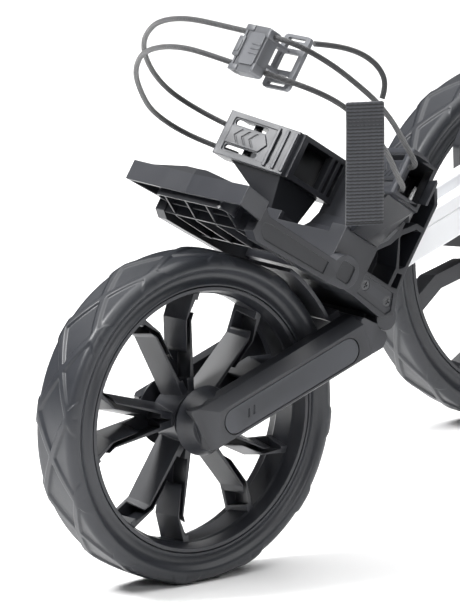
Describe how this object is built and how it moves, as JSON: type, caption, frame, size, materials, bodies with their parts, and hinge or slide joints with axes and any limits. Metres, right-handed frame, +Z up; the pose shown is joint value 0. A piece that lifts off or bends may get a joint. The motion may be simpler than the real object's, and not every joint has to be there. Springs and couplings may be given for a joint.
{
  "type": "golf push cart",
  "caption": "Folding golf push cart with one front wheel, spread rear wheels, a cradle with an elastic strap for the bag's lower end, a foot rest and a handle console.",
  "frame": {"origin": "centre of the cart's box on the floor plane, without the strap cords", "axes": "+X to the cart's rear, +Y to its right side, +Z up"},
  "size_m": [0.8116, 0.613, 0.9676],
  "materials": {
    "tyre": "matte moulded rubber",
    "black_plastic": "satin",
    "grey_plastic": "satin",
    "elastic_cord": "braided sleeve",
    "webbing": "ribbed weave",
    "white_paint": "gloss",
    "black_paint": "satin",
    "steel": "satin",
    "grip_rubber": "matte"
  },
  "bodies": {
    "frame": {"bracket_body": "black_plastic", "bracket_screws": "steel", "foot_pivots": "steel", "arm_left": "black_plastic", "arm_right": "black_plastic", "pad_left": "black_plastic", "pad_right": "black_plastic", "cord_posts": "black_plastic", "cord_upper_far": "elastic_cord", "cord_lower_far": "elastic_cord", "cord_upper_near": "elastic_cord", "cord_lower_near": "elastic_cord", "cord_tail": "elastic_cord", "buckle_body": "grey_plastic", "buckle_tongue": "grey_plastic", "ladder_lock": "grey_plastic", "webbing_pull": "webbing", "rail_left": "white_paint", "rail_right": "white_paint", "rail_spacer": "black_plastic", "hub_left": "black_plastic", "hub_right": "black_plastic", "hub_pins": "steel", "fork_pin": "steel"},
    "fork": {"fork_leg_left": "black_plastic", "fork_leg_right": "black_plastic", "fork_cover_left": "black_plastic", "fork_cover_right": "black_plastic", "fork_crown": "black_plastic", "mudguard": "black_plastic", "front_axle": "steel"},
    "front_wheel": {"front_tyre": "tyre", "front_rim": "black_plastic", "front_spokes": "black_plastic"},
    "foot": {"foot_frame": "black_plastic"},
    "leg_left": {"rear_leg_left": "black_paint", "rear_axle_left": "steel"},
    "leg_right": {"rear_leg_right": "black_paint", "rear_axle_right": "steel"},
    "wheel_left": {"rear_rim_left": "black_plastic", "rear_spokes_left": "black_plastic", "rear_tyre_left": "tyre", "hub_cap_left": "black_plastic"},
    "wheel_right": {"rear_rim_right": "black_plastic", "rear_spokes_right": "black_plastic", "rear_tyre_right": "tyre", "hub_cap_right": "black_plastic"},
    "mast": {"mast_tube": "white_paint", "mast_knuckle": "black_plastic", "mast_head": "black_plastic", "upper_bracket": "black_plastic", "upper_arms": "black_plastic", "upper_pads": "black_plastic", "handle_pin": "steel"},
    "handle": {"handle_stem": "black_plastic", "handle_loop": "black_paint", "handle_grip": "grip_rubber", "console_tray": "black_plastic"},
    "lid": {"console_lid": "black_plastic"},
    "brake": {"brake_lever": "black_plastic"}
  },
  "joints": [
    {"name": "fork_fold", "type": "hinge", "parent": "frame", "child": "fork", "pos_m": [-0.13525, 0, 0.1805], "axis": [0, -1, 0], "range_deg": [0, 120]},
    {"name": "front_wheel_spin", "type": "hinge", "parent": "fork", "child": "front_wheel", "pos_m": [-0.28525, 0, 0.1205], "axis": [0, 1, 0], "continuous": true},
    {"name": "foot_fold", "type": "hinge", "parent": "frame", "child": "foot", "pos_m": [-0.18473, 0, 0.22246], "axis": [0, 1, 0], "range_deg": [0, 50]},
    {"name": "leg_left_fold", "type": "hinge", "parent": "frame", "child": "leg_left", "pos_m": [0.04075, -0.034, 0.2495], "axis": [0, 0, 1], "range_deg": [0, 30]},
    {"name": "leg_right_fold", "type": "hinge", "parent": "frame", "child": "leg_right", "pos_m": [0.04075, 0.034, 0.2495], "axis": [0, 0, -1], "range_deg": [0, 30]},
    {"name": "wheel_left_spin", "type": "hinge", "parent": "leg_left", "child": "wheel_left", "pos_m": [0.25975, -0.28, 0.146], "axis": [0, 1, 0], "continuous": true},
    {"name": "wheel_right_spin", "type": "hinge", "parent": "leg_right", "child": "wheel_right", "pos_m": [0.25975, 0.28, 0.146], "axis": [0, 1, 0], "continuous": true},
    {"name": "mast_fold", "type": "hinge", "parent": "frame", "child": "mast", "pos_m": [0.02075, 0, 0.2785], "axis": [0, -1, 0], "range_deg": [0, 55]},
    {"name": "handle_fold", "type": "hinge", "parent": "mast", "child": "handle", "pos_m": [0.19267, 0, 0.84081], "axis": [0, -1, 0], "range_deg": [0, 110]},
    {"name": "lid_hinge", "type": "hinge", "parent": "handle", "child": "lid", "pos_m": [0.24386, 0, 0.92407], "axis": [0, -1, 0], "range_deg": [0, 100]},
    {"name": "brake_squeeze", "type": "hinge", "parent": "handle", "child": "brake", "pos_m": [0.29146, 0, 0.88211], "axis": [0, -1, 0], "range_deg": [0, 12]}
  ],
  "couplings": [
    {"joint": "leg_right_fold", "follows": "leg_left_fold", "ratio": 1}
  ]
}
